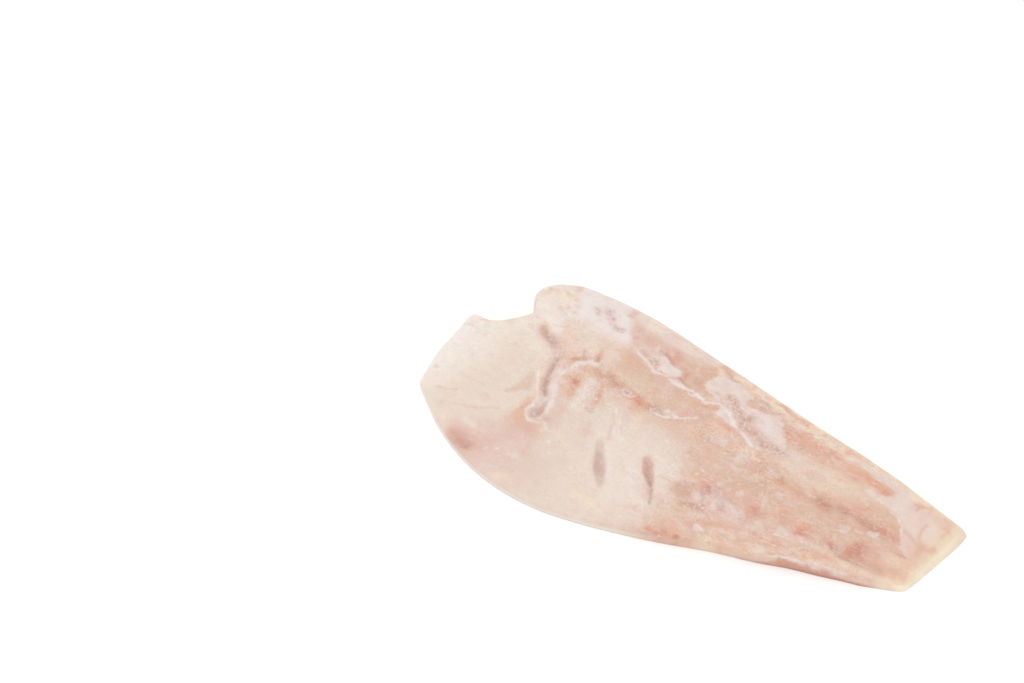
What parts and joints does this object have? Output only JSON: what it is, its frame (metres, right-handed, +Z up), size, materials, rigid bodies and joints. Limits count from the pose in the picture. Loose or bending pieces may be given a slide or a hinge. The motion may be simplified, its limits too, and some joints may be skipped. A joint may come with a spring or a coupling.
{
  "type": "skinless nile perch fillet",
  "caption": "Skinless fish fillet lying flat, bone side up: thick loin along the back, thin belly flap, notched head cut, straight tail cut.",
  "frame": {"origin": "middle of the fillet's box in plan, on the flat face that it lies on", "axes": "+X from the head cut to the tail cut, +Y from the belly edge to the back edge, +Z up out of the bone side"},
  "size_m": [0.3212, 0.1516, 0.0251],
  "materials": {
    "flesh": "satin"
  },
  "bodies": {
    "root": {"fillet": "flesh"}
  },
  "joints": []
}
